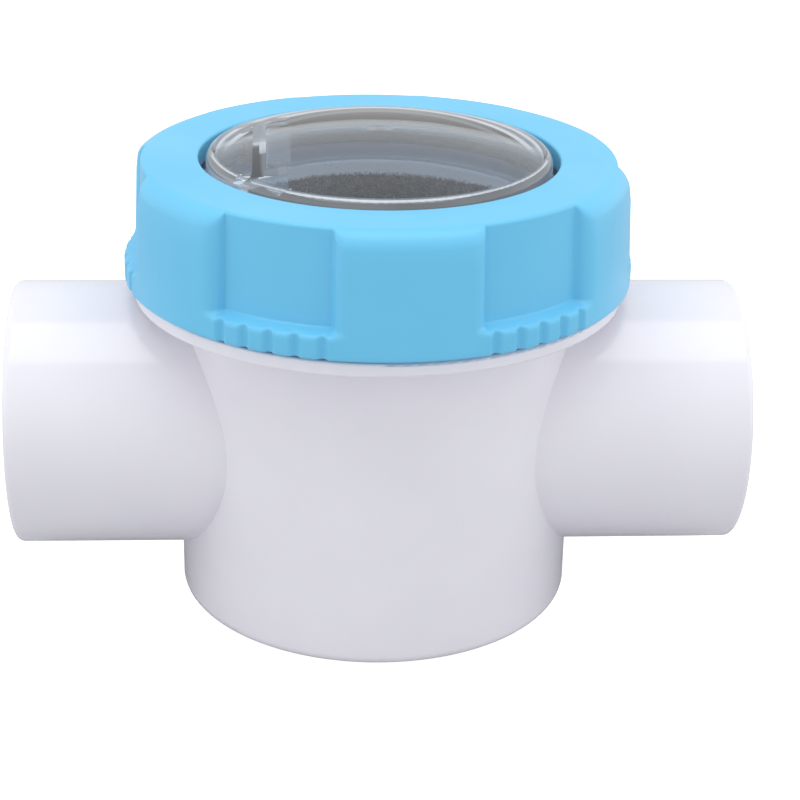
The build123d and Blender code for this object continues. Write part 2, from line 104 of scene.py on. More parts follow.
# ---- Node trees ----------------------------------------------------------------------------------
class Graph:
    """Short hand for wiring the nodes of one material, group or world."""

    def __init__(self, tree: bpy.types.NodeTree) -> None:
        """Args:
            tree: the node tree to work in.
        """
        self.tree = tree

    def add(self, kind: str, inputs: dict | None = None, **settings) -> bpy.types.Node:
        """Adds a node.

        Args:
            kind: the node's type name without its ShaderNode prefix.
            inputs: socket name or number to a value, or to the output socket that feeds it.
            settings: properties of the node.

        Returns:
            The new node.
        """
        node = self.tree.nodes.new("ShaderNode" + kind)
        for name, value in settings.items():
            setattr(node, name, value)
        for name, value in (inputs or {}).items():
            self.feed(node.inputs[name], value)
        return node

    def feed(self, socket: bpy.types.NodeSocket, value: object) -> None:
        """Sets a socket to a value, or links it to another node's output.

        Args:
            socket: the input socket.
            value: a number, a colour or an output socket.
        """
        if isinstance(value, bpy.types.NodeSocket):
            self.tree.links.new(value, socket)
        else:
            socket.default_value = value

    def maths(self, operation: str, first: object, second: object = 0.0) -> bpy.types.NodeSocket:
        """Returns the output of a Math node on two values or sockets."""
        return self.add("Math", {0: first, 1: second}, operation=operation).outputs[0]

    def blend(self, share: object, first: object, second: object) -> bpy.types.NodeSocket:
        """Returns a colour that goes from first to second as share goes from 0 to 1."""
        node = self.add("Mix", data_type="RGBA")
        for number, value in ((0, share), (6, first), (7, second)):
            self.feed(node.inputs[number], value)
        return node.outputs[2]

    def remap(self, value: object, low: float, high: float, to_low: object, to_high: object
              ) -> bpy.types.NodeSocket:
        """Maps a range onto another and holds it at the ends.

        Args:
            value: the socket to map.
            low: the value that gives to_low.
            high: the value that gives to_high.
            to_low: a number or socket.
            to_high: a number or socket.

        Returns:
            The mapped value.
        """
        node = self.add("MapRange", {0: value, 1: low, 2: high, 3: to_low, 4: to_high})
        return node.outputs[0]

    def noise(self, scale: object, detail: float = 2.0, vector: object = None
              ) -> bpy.types.NodeSocket:
        """Returns a noise value over the piece's own coordinates.

        Args:
            scale: features per metre.
            detail: octaves.
            vector: other coordinates to use.
        """
        place = vector or self.place()
        return self.add("TexNoise", {"Vector": place, "Scale": scale, "Detail": detail}).outputs[0]

    def place(self) -> bpy.types.NodeSocket:
        """Returns the piece's own coordinates in metres."""
        return self.add("TexCoord").outputs["Object"]


class EffectGroup:
    """A shader node group with named inputs and outputs that several materials share."""

    def __init__(self, name: str, inputs: dict[str, object], outputs: dict[str, str]) -> None:
        """Args:
            name: the group's name.
            inputs: socket name to its first value, a number or a colour.
            outputs: socket name to "colour" or "value".
        """
        self.tree = bpy.data.node_groups.new(name, "ShaderNodeTree")
        self.graph = Graph(self.tree)
        for label, value in inputs.items():
            kind = "NodeSocketFloat" if isinstance(value, float) else "NodeSocketColor"
            socket = self.tree.interface.new_socket(label, in_out="INPUT", socket_type=kind)
            socket.default_value = value if isinstance(value, float) else rgba(value)
        for label, what in outputs.items():
            kind = "NodeSocketColor" if what == "colour" else "NodeSocketFloat"
            self.tree.interface.new_socket(label, in_out="OUTPUT", socket_type=kind)
        self.given = self.tree.nodes.new("NodeGroupInput").outputs
        self.result = self.tree.nodes.new("NodeGroupOutput").inputs

    def put(self, label: str, value: bpy.types.NodeSocket) -> None:
        """Links a value to one of the group's outputs."""
        self.graph.feed(self.result[label], value)

    def place_in(self, graph: Graph, **values: object) -> bpy.types.bpy_prop_collection:
        """Places the group in a material.

        Args:
            graph: the material's graph.
            values: input name, with _ for a space, to its value.

        Returns:
            The group node's outputs.
        """
        node = graph.tree.nodes.new("ShaderNodeGroup")
        node.node_tree = self.tree
        for label, value in values.items():
            graph.feed(node.inputs[label.replace("_", " ")], value)
        return node.outputs


class Effects:
    """The node groups that the finishes share, each built once."""

    speck_odds: float = 0.02
    speck_reach: float = 0.16
    fleck_share_in_grit: float = 0.6
    peel_share: float = 0.35
    wave_to_peel: float = 0.12
    line_stretch: float = 0.06

    def __init__(self) -> None:
        """Builds every group."""
        self.skin = self.moulded_skin()
        self.flecks = self.mineral_flecks()
        self.drawn = self.drawn_metal()
        self.dust = self.dust_and_scuffs()

    def moulded_skin(self) -> EffectGroup:
        """Returns the skin of moulded plastic: drifting tone, drifting gloss and a fine peel."""
        group = EffectGroup(
            "moulded_skin",
            {"Tint": (0.8, 0.8, 0.8), "Shade": (0.7, 0.7, 0.7), "Drift": 30.0, "Peel": 900.0,
             "Gloss": 0.2, "Spread": 0.05},
            {"Tint": "colour", "Roughness": "value", "Height": "value"},
        )
        g, given = group.graph, group.given
        drift = g.noise(given["Drift"], 3.0)
        shaded = g.remap(drift, *WIDE, 0.0, 1.0)
        group.put("Tint", g.blend(shaded, given["Tint"], given["Shade"]))
        patch = g.remap(g.noise(given["Drift"], 5.0), *NARROW, -1.0, 1.0)
        change = g.maths("MULTIPLY", patch, given["Spread"])
        group.put("Roughness", g.maths("ADD", given["Gloss"], change))
        fine = g.noise(given["Peel"], 2.0)
        wave = g.noise(g.maths("MULTIPLY", given["Peel"], self.wave_to_peel), 1.0)
        group.put("Height", g.maths("ADD", g.maths("MULTIPLY", fine, self.peel_share), wave))
        return group

    def mineral_flecks(self) -> EffectGroup:
        """Returns dark filled plastic with bright flecks of filler at its surface."""
        group = EffectGroup(
            "mineral_flecks",
            {"Tint": (0.03, 0.03, 0.03), "Fleck": (0.6, 0.6, 0.62), "Size": 2500.0, "Share": 0.2},
            {"Tint": "colour", "Metal": "value", "Roughness": "value", "Height": "value"},
        )
        g, given = group.graph, group.given
        cells = g.add("TexVoronoi", {"Vector": g.place(), "Scale": given["Size"]})
        lottery = g.add("SeparateColor", {0: cells.outputs["Color"]})
        chosen = g.maths("LESS_THAN", lottery.outputs[0], given["Share"])
        core = g.remap(cells.outputs["Distance"], 0.25, 0.5, 1.0, 0.0)
        cloud = g.remap(g.noise(160.0, 3.0), 0.38, 0.62, 0.25, 1.0)
        fleck = g.maths("MULTIPLY", g.maths("MULTIPLY", chosen, core), cloud)
        smoke = g.remap(g.noise(420.0, 4.0), 0.35, 0.7, 0.0, 0.22)
        base = g.blend(smoke, given["Tint"], given["Fleck"])
        group.put("Tint", g.blend(fleck, base, given["Fleck"]))
        group.put("Metal", fleck)
        group.put("Roughness", g.remap(fleck, 0.0, 1.0, 0.42, 0.22))
        grit = g.maths("MULTIPLY", lottery.outputs[1], core)
        bumps = g.maths("MULTIPLY", grit, self.fleck_share_in_grit)
        group.put("Height", g.maths("ADD", bumps, g.noise(700.0, 4.0)))
        return group

    def drawn_metal(self) -> EffectGroup:
        """Returns drawn or turned steel: fine lines, with gloss that follows them."""
        group = EffectGroup(
            "drawn_metal",
            {"Tint": (0.6, 0.6, 0.6), "Shade": (0.4, 0.4, 0.4), "Lines": 900.0, "Gloss": 0.28},
            {"Tint": "colour", "Roughness": "value", "Height": "value"},
        )
        g, given = group.graph, group.given
        along = (1.0, self.line_stretch, 1.0)
        stretched = g.add("Mapping", {"Vector": g.place(), "Scale": along}).outputs[0]
        lines = g.noise(given["Lines"], 4.0, stretched)
        clouds = g.noise(90.0, 3.0)
        shaded = g.remap(lines, *NARROW, 0.0, 1.0)
        group.put("Tint", g.blend(shaded, given["Tint"], given["Shade"]))
        sheen = g.remap(clouds, *WIDE, -0.06, 0.08)
        group.put("Roughness", g.maths("ADD", given["Gloss"], sheen))
        group.put("Height", lines)
        return group

    def dust_and_scuffs(self) -> EffectGroup:
        """Returns a mask of hair-fine scuffs and another of dust specks."""
        group = EffectGroup("dust_and_scuffs", {"Scuffs": 260.0, "Specks": 1400.0},
                            {"Scuff": "value", "Speck": "value"})
        g, given = group.graph, group.given
        turned = g.add("Mapping", {"Vector": g.place(), "Rotation": (0.6, 0.3, 0.9),
                                   "Scale": (0.05, 1.0, 1.0)}).outputs[0]
        hair = g.noise(given["Scuffs"], 6.0, turned)
        where = g.remap(g.noise(45.0, 2.0), 0.5, 0.62, 0.0, 1.0)
        group.put("Scuff", g.maths("MULTIPLY", g.remap(hair, 0.62, 0.68, 0.0, 1.0), where))
        cells = g.add("TexVoronoi", {"Vector": g.place(), "Scale": given["Specks"]})
        lottery = g.add("SeparateColor", {0: cells.outputs["Color"]}).outputs[0]
        rare = g.maths("LESS_THAN", lottery, self.speck_odds)
        dot = g.maths("LESS_THAN", cells.outputs["Distance"], self.speck_reach)
        group.put("Speck", g.maths("MULTIPLY", rare, dot))
        return group


# ---- Finishes ------------------------------------------------------------------------------------
def new_material(name: str) -> tuple[bpy.types.Material, Graph, bpy.types.Node]:
    """Makes an empty material.

    Args:
        name: its name.

    Returns:
        The material, its graph and its Principled shader, already joined to the output.
    """
    material = bpy.data.materials.new(name)
    material.use_nodes = True
    material.node_tree.nodes.clear()
    graph = Graph(material.node_tree)
    shader = graph.add("BsdfPrincipled")
    graph.add("OutputMaterial", {"Surface": shader.outputs[0]})
    return material, graph, shader


def add_relief(graph: Graph, shader: bpy.types.Node, height: bpy.types.NodeSocket, depth: float,
               strength: float = 1.0) -> None:
    """Feeds a height to the shader's normal.

    Args:
        graph: the material's graph.
        shader: its Principled shader.
        height: the height, about 0 to 1.
        depth: how far 1 stands up, in metres.
        strength: the Bump node's strength.
    """
    bump = graph.add("Bump", {"Height": height, "Distance": depth, "Strength": strength})
    graph.feed(shader.inputs["Normal"], bump.outputs[0])


@dataclass(frozen=True)
class MouldedPlastic:
    """Glossy or matt injection-moulded plastic."""

    name: str
    tint: Colour
    shade: Colour
    gloss: float = 0.2
    spread: float = 0.04
    peel: float = 900.0
    peel_depth: float = 0.02 * MM
    drift: float = 30.0
    ior: float = 1.5
    dust: float = 0.12

    def build(self, effects: Effects) -> bpy.types.Material:
        """Builds the material.

        Args:
            effects: the shared groups.

        Returns:
            The material.
        """
        material, g, shader = new_material(self.name)
        skin = effects.skin.place_in(
            g, Tint=rgba(self.tint), Shade=rgba(self.shade), Drift=self.drift, Peel=self.peel,
            Gloss=self.gloss, Spread=self.spread)
        marks = effects.dust.place_in(g)
        speck = g.maths("MULTIPLY", marks["Speck"], self.dust)
        g.feed(shader.inputs["Base Color"], g.blend(speck, skin["Tint"], rgba(DUST)))
        scuffed = g.maths("MULTIPLY", marks["Scuff"], self.dust)
        g.feed(shader.inputs["Roughness"], g.maths("ADD", skin["Roughness"], scuffed))
        shader.inputs["IOR"].default_value = self.ior
        add_relief(g, shader, skin["Height"], self.peel_depth)
        return material


@dataclass(frozen=True)
class FilledPlastic:
    """Dark plastic with glittering mineral filler. Above a set height it can also take a painted highlight
    and a painted glow on the piece's upper lip.
    """

    name: str
    tint: Colour
    fleck: Colour
    size: float = 2500.0
    share: float = 0.22
    grit: float = 0.12 * MM
    painted_light_z: float = 0.0
    lip_painted_highlight: Colour = (0.90, 0.91, 0.93)
    lip_painted_glow: Colour = (0.085, 0.09, 0.095)
    lip_grain: float = 2.6 * MM
    lip_grain_scale: float = 1500.0
    lip_fade: float = 0.9 * MM

    def build(self, effects: Effects) -> bpy.types.Material:
        """Builds the material.

        Args:
            effects: the shared groups.

        Returns:
            The material.
        """
        material, g, shader = new_material(self.name)
        made = effects.flecks.place_in(g, Tint=rgba(self.tint), Fleck=rgba(self.fleck),
                                       Size=self.size, Share=self.share)
        tint = made["Tint"]
        # Painted light: above the set height the tint turns pale (painted highlight) and the surface emits
        # a faint glow (painted glow), with a grainy lower edge.
        if self.painted_light_z:
            height = g.add("SeparateXYZ", {0: g.place()}).outputs[2]
            grain = g.maths("MULTIPLY", g.noise(self.lip_grain_scale, 2.0), self.lip_grain)
            frayed = g.maths("ADD", height, grain)
            painted_lip_light = g.remap(frayed, self.painted_light_z, self.painted_light_z + self.lip_fade, 0.0, 1.0)
            tint = g.blend(painted_lip_light, tint, rgba(self.lip_painted_highlight))
            glow = g.blend(painted_lip_light, rgba(BLACK), rgba(self.lip_painted_glow))
            g.feed(shader.inputs["Emission Color"], glow)
            shader.inputs["Emission Strength"].default_value = 1.0
        g.feed(shader.inputs["Base Color"], tint)
        g.feed(shader.inputs["Metallic"], made["Metal"])
        g.feed(shader.inputs["Roughness"], made["Roughness"])
        add_relief(g, shader, made["Height"], self.grit)
        return material


@dataclass(frozen=True)
class Rubber:
    """Black moulded rubber with a dusty bloom."""

    name: str
    tint: Colour = (0.018, 0.018, 0.02)
    bloom: Colour = (0.06, 0.06, 0.062)
    gloss: float = 0.55
    spread: float = 0.12
    blotch: float = 120.0
    tooth: float = 3000.0
    tooth_depth: float = 0.04 * MM
    sheen: float = 0.12

    def build(self, effects: Effects) -> bpy.types.Material:
        """Builds the material.

        Args:
            effects: the shared groups.

        Returns:
            The material.
        """
        material, g, shader = new_material(self.name)
        skin = effects.skin.place_in(g, Tint=rgba(self.tint), Shade=rgba(self.bloom),
                                     Drift=self.blotch, Peel=self.tooth, Gloss=self.gloss,
                                     Spread=self.spread)
        g.feed(shader.inputs["Base Color"], skin["Tint"])
        g.feed(shader.inputs["Roughness"], skin["Roughness"])
        shader.inputs["Sheen Weight"].default_value = self.sheen
        add_relief(g, shader, skin["Height"], self.tooth_depth)
        return material


@dataclass(frozen=True)
class Steel:
    """Stainless steel, turned, pressed or drawn."""

    name: str
    tint: Colour = (0.66, 0.66, 0.68)
    shade: Colour = (0.46, 0.46, 0.48)
    lines: float = 1200.0
    gloss: float = 0.28
    depth: float = 0.01 * MM
    scuffs: float = 500.0
    wear: float = 0.2

    def build(self, effects: Effects) -> bpy.types.Material:
        """Builds the material.

        Args:
            effects: the shared groups.

        Returns:
            The material.
        """
        material, g, shader = new_material(self.name)
        metal = effects.drawn.place_in(g, Tint=rgba(self.tint), Shade=rgba(self.shade),
                                       Lines=self.lines, Gloss=self.gloss)
        marks = effects.dust.place_in(g, Scuffs=self.scuffs)
        g.feed(shader.inputs["Base Color"], metal["Tint"])
        shader.inputs["Metallic"].default_value = 1.0
        worn = g.maths("MULTIPLY", marks["Scuff"], self.wear)
        g.feed(shader.inputs["Roughness"], g.maths("ADD", metal["Roughness"], worn))
        add_relief(g, shader, metal["Height"], self.depth)
        return material


@dataclass(frozen=True)
class ClearCover:
    """Clear polycarbonate with faint smears, a few hair-fine scratches, and a painted glow on its rim and
    its thick ribs.

    The ribs are told from the ceiling by its height, which falls from its crown with the square of
    the distance from the axis.
    """

    name: str
    tint: Colour = (0.74, 0.82, 0.89)
    through: Colour = (0.60, 0.66, 0.72)
    # Colours of the painted glow: emitted light on the rim and on the ribs.
    painted_rim_light: Colour = (0.17, 0.185, 0.205)
    painted_rib_light: Colour = (0.05, 0.058, 0.068)
    rim_r: float = 36.4 * MM
    rim_z: float = 100.6 * MM
    rib_x: float = -19.6 * MM
    ceiling_z: float = 106.6 * MM
    ceiling_fall: float = 4.285
    edge: float = 0.8 * MM
    ior: float = 1.58
    gloss: float = 0.015
    speck_tint: Colour = (0.7, 0.7, 0.7)
    speck_share: float = 0.35
    scuffs: float = 420.0
    specks: float = 900.0
    scratch_haze: float = 0.12
    smear_scale: float = 60.0
    smear_haze: float = 0.04
    wave_scale: float = 70.0
    wave_depth: float = 0.05 * MM
    wave_strength: float = 0.25
    drift_scale: float = 55.0

    def build(self, effects: Effects) -> bpy.types.Material:
        """Builds the material.

        Args:
            effects: the shared groups.

        Returns:
            The material.
        """
        material, g, shader = new_material(self.name)
        marks = effects.dust.place_in(g, Scuffs=self.scuffs, Specks=self.specks)
        smear = g.remap(g.noise(self.smear_scale, 3.0), 0.55, 0.75, 0.0, self.smear_haze)
        scratch = g.maths("MULTIPLY", marks["Scuff"], self.scratch_haze)
        haze = g.maths("ADD", smear, scratch)
        g.feed(shader.inputs["Roughness"], g.maths("ADD", haze, self.gloss))
        veil = g.maths("MULTIPLY", marks["Speck"], self.speck_share)
        g.feed(shader.inputs["Base Color"], g.blend(veil, rgba(self.tint), rgba(self.speck_tint)))
        shader.inputs["IOR"].default_value = self.ior
        shader.inputs["Transmission Weight"].default_value = 1.0
        waves = g.noise(self.wave_scale, 1.0)
        add_relief(g, shader, waves, self.wave_depth, self.wave_strength)
        self.paint_edge_glow(g, shader)
        self.let_lamps_through(g, shader)
        return material

    def paint_edge_glow(self, g: Graph, shader: bpy.types.Node) -> None:
        """Paints a glow on the rim and the thick ribs. They emit light of their own, a painted glow that
        stands for the light clear plastic carries out to its edges.

        Args:
            g: the material's graph.
            shader: its Principled shader.
        """
        x, y, z = g.add("SeparateXYZ", {0: g.place()}).outputs
        square = g.maths("ADD", g.maths("MULTIPLY", x, x), g.maths("MULTIPLY", y, y))
        radius = g.maths("SQRT", square)
        high = g.remap(z, self.rim_z, self.rim_z + self.edge, 0.0, 1.0)
        outside = g.remap(radius, self.rim_r, self.rim_r + self.edge, 0.0, 1.0)
        rim = g.maths("MULTIPLY", outside, high)
        inside = g.remap(radius, self.rim_r - 2 * self.edge, self.rim_r - self.edge, 1.0, 0.0)
        depth = g.maths("ADD", z, g.maths("MULTIPLY", square, self.ceiling_fall))
        below = g.remap(depth, self.ceiling_z - self.edge, self.ceiling_z - self.edge / 2, 1.0, 0.0)
        aside = g.remap(x, self.rib_x, self.rib_x + self.edge / 2, 1.0, 0.0)
        rib = g.maths("MULTIPLY", g.maths("MULTIPLY", aside, inside), below)
        drift = g.remap(g.noise(self.drift_scale, 2.0), *NARROW, 0.75, 1.0)
        # Painted light: the ribs and the rim emit a glow, with no lamp there.
        glow = g.blend(g.maths("MULTIPLY", rib, drift), rgba(BLACK), rgba(self.painted_rib_light))
        glow = g.blend(g.maths("MULTIPLY", rim, drift), glow, rgba(self.painted_rim_light))
        g.feed(shader.inputs["Emission Color"], glow)
        shader.inputs["Emission Strength"].default_value = 1.0

    def let_lamps_through(self, g: Graph, shader: bpy.types.Node) -> None:
        """Lets light reach what lies behind the cover.

        Args:
            g: the material's graph.
            shader: its Principled shader.
        """
        path = g.add("LightPath").outputs
        passing = g.maths("MAXIMUM", path["Is Shadow Ray"], path["Is Diffuse Ray"])
        open_way = g.add("BsdfTransparent", {"Color": rgba(self.through)})
        mix = g.add("MixShader", {0: passing, 1: shader.outputs[0], 2: open_way.outputs[0]})
        output = next(node for node in g.tree.nodes if node.type == "OUTPUT_MATERIAL")
        g.feed(output.inputs["Surface"], mix.outputs[0])


@dataclass
class Finishes:
    """Every finish of the valve by its slot."""

    effects: Effects = field(default_factory=Effects)
    made: dict[Slot, bpy.types.Material] = field(default_factory=dict)

    def build(self) -> None:
        """Builds one material for each slot."""
        recipes = {
            Slot.PVC: MouldedPlastic("white_pvc", (0.84, 0.832, 0.895), (0.80, 0.792, 0.86),
                                     gloss=0.13, spread=0.03, peel=500.0, peel_depth=0.015 * MM, ior=1.52),
            Slot.BLUE: MouldedPlastic("sky_blue_abs", (0.152, 0.555, 0.84), (0.140, 0.525, 0.81),
                                      gloss=0.33, spread=0.04, peel=1800.0, peel_depth=0.02 * MM,
                                      ior=1.4),
            Slot.CLEAR: ClearCover("clear_polycarbonate_painted_edge_glow"),
            Slot.ACETAL: MouldedPlastic("washer_acetal", (0.34, 0.43, 0.52), (0.29, 0.38, 0.47),
                                        gloss=0.4, peel=1500.0),
            Slot.RUBBER: Rubber("black_rubber"),
            # The seat frame's upper lip gets a painted highlight and a painted glow, where light through
            # the cover falls.
            Slot.FRAME: FilledPlastic("frame_filled_plastic_painted_lip_light", (0.014, 0.014, 0.017),
                                      (0.70, 0.71, 0.75), size=2000.0, share=0.4, painted_light_z=86.0 * MM),
            Slot.FLAPPER: FilledPlastic("flapper_filled_plastic", (0.03, 0.03, 0.034),
                                        (0.5, 0.5, 0.52), size=1900.0),
            Slot.STAINLESS: Steel("stainless_steel"),
            Slot.BUSH: MouldedPlastic("bush_acetal", (0.74, 0.72, 0.64), (0.68, 0.66, 0.58),
                                      gloss=0.38, peel=2200.0),
            Slot.SPRING: Steel("spring_wire", (0.55, 0.55, 0.57), (0.36, 0.36, 0.38), 2600.0, 0.22),
        }
        for slot, recipe in recipes.items():
            self.made[slot] = recipe.build(self.effects)

    def dress_node(self, node: str, slot: Slot) -> None:
        """Gives a CAD node its finish.

        Args:
            node: the node's name.
            slot: the slot whose finish it takes.
        """
        thing = frame["nodes"][node]
        if not thing.material_slots:
            thing.data.materials.append(None)
        for place in thing.material_slots:
            place.material = self.made[slot]
        LOG.info("dressed %s in %s", node, self.made[slot].name)

    def dress_piece(self, piece: bpy.types.Object, slot: Slot) -> None:
        """Gives a new piece its finish.

        Args:
            piece: the piece.
            slot: the slot whose finish it takes.
        """
        piece.data.materials.append(self.made[slot])


# ---- Meshes --------------------------------------------------------------------------------------
def make_piece(name: str, points: list[Vector], faces: list[tuple[int, ...]]) -> bpy.types.Object:
    """Makes a smooth-shaded mesh object whose normals all point out.

    Args:
        name: the piece's name.
        points: its vertices, in the valve's frame.
        faces: its faces as vertex numbers.

    Returns:
        The object, linked to the scene.
    """
    mesh = bpy.data.meshes.new(name)
    mesh.from_pydata([tuple(p) for p in points], [], faces)
    shape = bmesh.new()
    shape.from_mesh(mesh)
    bmesh.ops.recalc_face_normals(shape, faces=shape.faces)
    for face in shape.faces:
        face.smooth = True
    shape.to_mesh(mesh)
    shape.free()
    piece = bpy.data.objects.new(name, mesh)
    bpy.context.scene.collection.objects.link(piece)
    return piece


def loop_grid(rows: int, columns: int, first: int = 0) -> list[tuple[int, ...]]:
    """Returns the quads of a grid that closes on itself both ways.

    Args:
        rows: points in each ring of the grid.
        columns: number of rings.
        first: number of the first vertex.
    """
    faces = []
    for i in range(columns):
        here, there = first + i * rows, first + (i + 1) % columns * rows
        for j in range(rows):
            up = (j + 1) % rows
            faces.append((here + j, there + j, there + up, here + up))
    return faces


def tube(path: list[Vector], profile: list[tuple[float, float]], normals: list[Vector],
         first: int = 0) -> tuple[list[Vector], list[tuple[int, ...]]]:
    """Sweeps an outline along a path and closes both ends.

    Args:
        path: the points it follows.
        profile: the outline as (along the normal, across it) pairs.
        normals: the outline's first direction at each point.
        first: number of the first vertex.

    Returns:
        The vertices and faces.
    """
    points, faces, count = [], [], len(profile)
    for i, (centre, normal) in enumerate(zip(path, normals)):
        run = (path[min(i + 1, len(path) - 1)] - path[max(i - 1, 0)]).normalized()
        out = (normal - run * normal.dot(run)).normalized()
        across = run.cross(out)
        points += [centre + out * a + across * b for a, b in profile]
    for i in range(len(path) - 1):
        here, there = first + i * count, first + (i + 1) * count
        for j in range(count):
            up = (j + 1) % count
            faces.append((here + j, there + j, there + up, here + up))
    faces.append(tuple(range(first, first + count)))
    last = first + (len(path) - 1) * count
    faces.append(tuple(range(last, last + count)))
    return points, faces


def smooth_step(value: float, low: float, high: float) -> float:
    """Returns 0 below low, 1 above high and a smooth rise between."""
    share = min(max((value - low) / (high - low), 0.0), 1.0)
    return share * share * (3 - 2 * share)


def lerp(share: float, first: float, second: float) -> float:
    """Returns the value that far from first to second."""
    return first + (second - first) * share


# ---- Pieces --------------------------------------------------------------------------------------
@dataclass
class LockRing:
    """Threaded ring with six lobes, and grip grooves under each recess. Sizes in millimetres."""

    lobes: int = 6
    lobe_lead: float = 4.3
    recess_span: float = 26.6
    ramp_span: float = 4.0
    lobe_top_r: float = 55.6
    lobe_foot_r: float = 56.8
    recess_top_r: float = 52.7
    recess_foot_r: float = 53.4
    lobe_round: float = 4.6
    recess_round: float = 0.8
    shelf_z: float = 83.0
    band_z: float = 81.5
    band_r: float = 56.9
    hole_r: float = 40.0
    bore_r: float = 49.5
    plate_z: float = 99.36
    groove_count: int = 5
    groove_step: float = 5.85
    groove_width: float = 3.2
    groove_depth: float = 0.95
    columns: int = 1080
    hole_steps: int = 4
    edge_steps: int = 9
    wall_steps: int = 8
    band_steps: int = 5
    foot_steps: int = 3
    hole_round: float = 0.6
    foot_round: float = 0.5
    mouth_break: float = 0.8
    mouth_blunt: float = 0.25
    mouth_dip: float = 0.2
    hole_break: float = 0.3
    rise_shape: float = 1.15
    shelf_lift: float = 0.25
    shelf: tuple[tuple[float, float], ...] = (
        (0.04, 0.16), (0.12, 0.26), (0.4, 0.45), (0.68, 0.64), (0.86, 0.8), (0.96, 0.97), (1, 1.25))
    thread_start_z: float = 81.7
    thread_start_angle: float = 40.0
    thread_pitch: float = 5.0
    thread_turns: float = 2.98
    thread_h: float = 2.1
    thread_root: float = 1.45
    thread_crest: float = 0.8
    thread_edge: float = 0.2
    thread_bite: float = 0.4
    thread_steps: int = 120

    def __post_init__(self) -> None:
        """Takes the ring's top and bottom from its CAD node."""
        low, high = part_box("lock_ring")
        self.bottom_z, self.top_z = low.z / MM, high.z / MM

    def lobe_share(self, angle: float) -> float:
        """Returns 1 on a lobe and 0 in a recess, with a steep rise that rounds off on to the lobe.

        Args:
            angle: degrees round from +X.
        """
        past = (abs(self.from_recess(angle)) - self.recess_span / 2) / self.ramp_span
        return sqrt(1 - (1 - min(past, 1.0)) ** 2) ** self.rise_shape if past > 0 else 0.0

    def from_recess(self, angle: float) -> float:
        """Returns the angle from the middle of the nearest recess, in degrees."""
        step = 360 / self.lobes
        turn = (angle + 90 - self.lobe_lead) / step
        return (turn - floor(turn) - 0.5) * step

    def groove(self, angle: float) -> float:
        """Returns how deep the grip grooves cut at an angle, in millimetres."""
        away = self.from_recess(angle)
        reach = (self.groove_count - 1) / 2
        number = min(max(round(away / self.groove_step), -reach), reach)
        side = radians(abs(away - number * self.groove_step)) * self.band_r
        half = self.groove_width / 2
        return self.groove_depth * (0.5 + 0.5 * cos(pi * side / half)) if side < half else 0.0

    def section(self, angle: float) -> list[tuple[float, float]]:
        """Outline of the ring at one angle.

        Args:
            angle: degrees round from +X.

        Returns:
            Points as (radius, z) in millimetres, round the closed outline.
        """
        share, cut = self.lobe_share(angle), self.groove(angle)
        top, foot = self.top_z, self.bottom_z
        soft = self.hole_round
        line = []
        for i in range(self.hole_steps + 1):
            turn = radians(180 - 90 / self.hole_steps * i)
            line.append((self.hole_r + soft + soft * cos(turn), top - soft + soft * sin(turn)))
        rounding = lerp(share, self.recess_round, self.lobe_round)
        edge_r = lerp(share, self.recess_top_r, self.lobe_top_r)
        for part in (0.35, 0.7):
            line.append((lerp(part, self.hole_r + soft, edge_r - rounding), top))
        for i in range(self.edge_steps + 1):
            turn = radians(90 - 90 * i / self.edge_steps)
            line.append((edge_r - rounding * (1 - cos(turn)), top - rounding * (1 - sin(turn))))
        wall_top = top - rounding
        corner = self.shelf_z + self.shelf_lift
        for i in range(1, self.wall_steps + 1):
            part = i / self.wall_steps
            z = lerp(part, wall_top, corner)
            recess = lerp(part, self.recess_top_r, self.recess_foot_r)
            line.append((lerp(share, recess, self.lobe_r(z)), z))
        for out, down in self.shelf:
            z = lerp(down, corner, self.band_z)
            recess = lerp(out, self.recess_foot_r, self.band_r)
            line.append((self.grooved(lerp(share, recess, self.lobe_r(z)), cut), z))
        start = line[-1][1]
        for i in range(1, self.band_steps + 1):
            z = lerp(i / self.band_steps, start, foot + self.foot_round)
            line.append((self.grooved(lerp(share, self.band_r, self.lobe_r(z)), cut), z))
        outer = line[-1][0]
        for i in range(1, self.foot_steps + 1):
            turn = radians(90 / self.foot_steps * i)
            line.append((outer - self.foot_round * (1 - cos(turn)),
                         foot + self.foot_round * (1 - sin(turn))))
        return line + self.inside(outer)

    def inside(self, outer: float) -> list[tuple[float, float]]:
        """Outline of the foot, the threaded bore, the plate's underside and the hole.

        Args:
            outer: the radius at which the foot begins.

        Returns:
            Points as (radius, z) in millimetres.
        """
        foot, plate, bore, hole = self.bottom_z, self.plate_z, self.bore_r, self.hole_r
        wide, blunt, dip = self.mouth_break, self.mouth_blunt, self.mouth_dip
        return [
            (lerp(0.5, outer, bore), foot), (bore + wide, foot), (bore + blunt, foot + dip),
            (bore, foot + wide), (bore, lerp(0.5, foot, plate)), (bore, plate - wide),
            (bore - blunt, plate - dip), (bore - wide, plate), (lerp(0.5, bore, hole), plate),
            (hole + self.hole_break, plate), (hole, plate + self.hole_break),
            (hole, lerp(0.5, plate, self.top_z)),
        ]

    def lobe_r(self, z: float) -> float:
        """Returns the lobe's drafted radius at a height."""
        share = (self.top_z - z) / (self.top_z - self.bottom_z)
        return lerp(share, self.lobe_top_r, self.lobe_foot_r)

    def grooved(self, radius: float, cut: float) -> float:
        """Returns a radius held back to a groove's floor."""
        return min(radius, self.band_r - cut) if cut else radius

